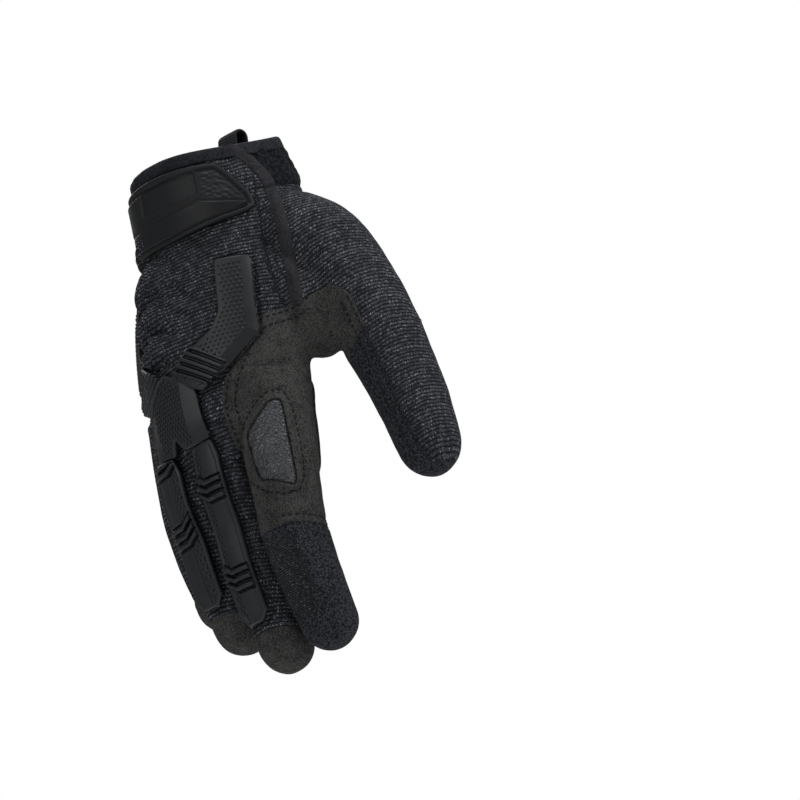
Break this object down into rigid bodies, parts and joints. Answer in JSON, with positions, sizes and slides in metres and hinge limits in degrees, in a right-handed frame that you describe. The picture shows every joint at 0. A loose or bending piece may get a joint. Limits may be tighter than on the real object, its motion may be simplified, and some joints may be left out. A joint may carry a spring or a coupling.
{
  "type": "tactical glove",
  "caption": "Right-hand tactical glove, filled as if worn: knit back, suede palm, moulded knuckle guard and wrist strap, open cuff.",
  "frame": {"origin": "middle of the cuff's mouth, where the wrist goes in", "axes": "+Z out of the cuff along the forearm, fingers towards -Z, +X towards the thumb, +Y towards the palm"},
  "size_m": [0.149, 0.0795, 0.2478],
  "materials": {
    "knit": "ribbed stretch knit, blue-black, matte with pale flecks",
    "suede": "synthetic suede, warm dark grey-brown, matte nap",
    "textured_fabric": "pebbled grip fabric, dark blue-grey, matte",
    "guard_rubber": "moulded thermoplastic rubber, near black, satin",
    "leather_grain": "grained synthetic leather, black, soft sheen",
    "webbing": "woven polyester webbing, black"
  },
  "bodies": {
    "root": {"back_knit_panel": "knit", "thumb_knit_panel": "knit", "palm_suede_panel": "suede", "index_tip_panel": "textured_fabric", "thumb_tip_panel": "textured_fabric", "palm_heel_pad": "suede", "palm_side_pad": "suede", "palm_reinforcement": "textured_fabric", "index_side_pad": "leather_grain", "seam_welt": "suede", "knuckle_guard": "guard_rubber", "middle_guard_bar": "guard_rubber", "ring_guard_bar": "guard_rubber", "cuff_band": "knit", "cuff_binding": "suede", "wrist_strap": "guard_rubber", "pull_loop": "webbing"}
  },
  "joints": []
}
